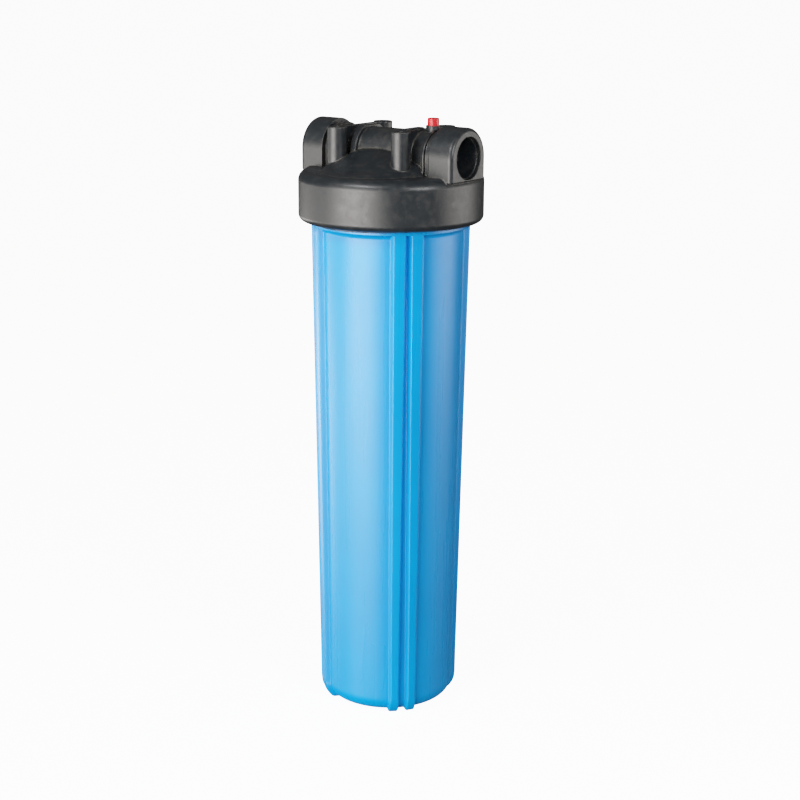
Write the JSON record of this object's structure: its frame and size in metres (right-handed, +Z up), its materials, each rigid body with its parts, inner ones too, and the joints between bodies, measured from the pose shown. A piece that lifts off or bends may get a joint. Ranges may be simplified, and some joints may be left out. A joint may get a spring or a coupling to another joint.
{
  "type": "cartridge filter housing",
  "caption": "Tall ribbed blue filter sump with a black screw-on head, two side ports, a red pressure-relief button and a pleated cartridge inside.",
  "frame": {"origin": "centre of the base, on the plane of the ribs' feet", "axes": "+Z up along the housing's axis, +X out of the inlet port, on whose side the relief button stands"},
  "size_m": [0.184, 0.184, 0.6053],
  "materials": {
    "blue_plastic": "semi-gloss moulded polypropylene",
    "black_plastic": "satin moulded polypropylene",
    "red_plastic": "smooth moulded",
    "white_plastic": "moulded",
    "black_rubber": "smooth, lightly greased",
    "pleated_cloth": "pleated polyester felt",
    "stainless": "drawn wire and turned stem"
  },
  "bodies": {
    "sump": {"sump": "blue_plastic", "cartridge_gasket_bottom": "black_rubber", "cartridge_end_cap_bottom": "white_plastic", "cartridge_core_lower": "white_plastic", "cartridge_core_upper": "white_plastic", "cartridge_pleats": "pleated_cloth", "cartridge_end_cap_top": "white_plastic", "cartridge_gasket_top": "black_rubber"},
    "main_o_ring": {"main_o_ring": "black_rubber"},
    "head": {"head": "black_plastic", "relief_spring": "stainless"},
    "relief_valve": {"relief_button": "red_plastic", "relief_stem": "stainless", "relief_valve_disc": "white_plastic", "relief_o_ring": "black_rubber"}
  },
  "joints": [
    {"name": "head_turn", "type": "hinge", "parent": "sump", "child": "main_o_ring", "pos_m": [0, 0, 0.5], "axis": [0, 0, 1], "range_deg": [0, 1170]},
    {"name": "head_lift", "type": "slide", "parent": "main_o_ring", "child": "head", "axis": [0, 0, 1], "range_m": [0, 0.0261]},
    {"name": "relief_press", "type": "slide", "parent": "head", "child": "relief_valve", "axis": [0, 0, -1], "range_m": [0, 0.003], "stiffness_N_per_m": 500, "springref_m": -0.004, "deforming": ["relief_spring"]}
  ],
  "couplings": [
    {"joint": "head_lift", "follows": "head_turn", "m_per_rad": 0.0012732}
  ]
}
